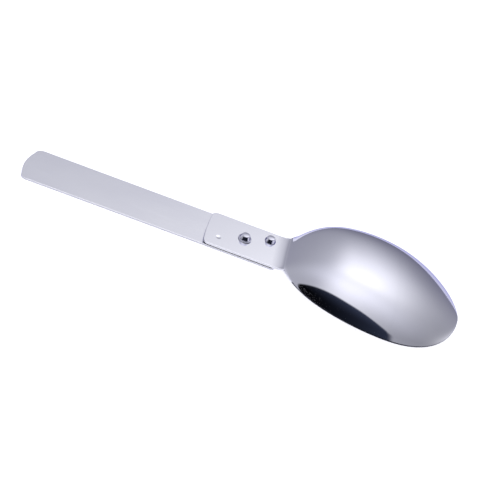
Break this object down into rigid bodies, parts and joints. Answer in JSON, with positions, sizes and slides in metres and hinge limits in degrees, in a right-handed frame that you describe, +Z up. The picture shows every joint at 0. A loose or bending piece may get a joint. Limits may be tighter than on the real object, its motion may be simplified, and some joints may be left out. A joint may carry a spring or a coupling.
{
  "type": "folding spoon",
  "caption": "Folding table spoon: a deep oval bowl on a flat tang, and a flat strip handle that swings under it about one domed rivet.",
  "frame": {"origin": "on the pivot's axis, at the flat end of the rivet's tail, which is the lowest face of the spoon lying face down", "axes": "+X from the pivot to the bowl's tip, +Z up and away from the bowl's mouth, so +Y is across the spoon"},
  "size_m": [0.1633, 0.0528, 0.0138],
  "materials": {
    "polished_steel": "mirror-polished stainless steel",
    "satin_steel": "fine satin stainless steel",
    "rivet_steel": "polished stainless steel"
  },
  "bodies": {
    "bowl_side": {"bowl_and_tang": "polished_steel", "pivot_rivet": "rivet_steel", "pivot_washer": "rivet_steel", "lock_stud": "rivet_steel"},
    "handle_side": {"handle": "satin_steel"}
  },
  "joints": [
    {"name": "handle_fold", "type": "hinge", "parent": "bowl_side", "child": "handle_side", "pos_m": [0, 0, 0.0011], "axis": [0, 0, 1], "range_deg": [0, 180]}
  ]
}
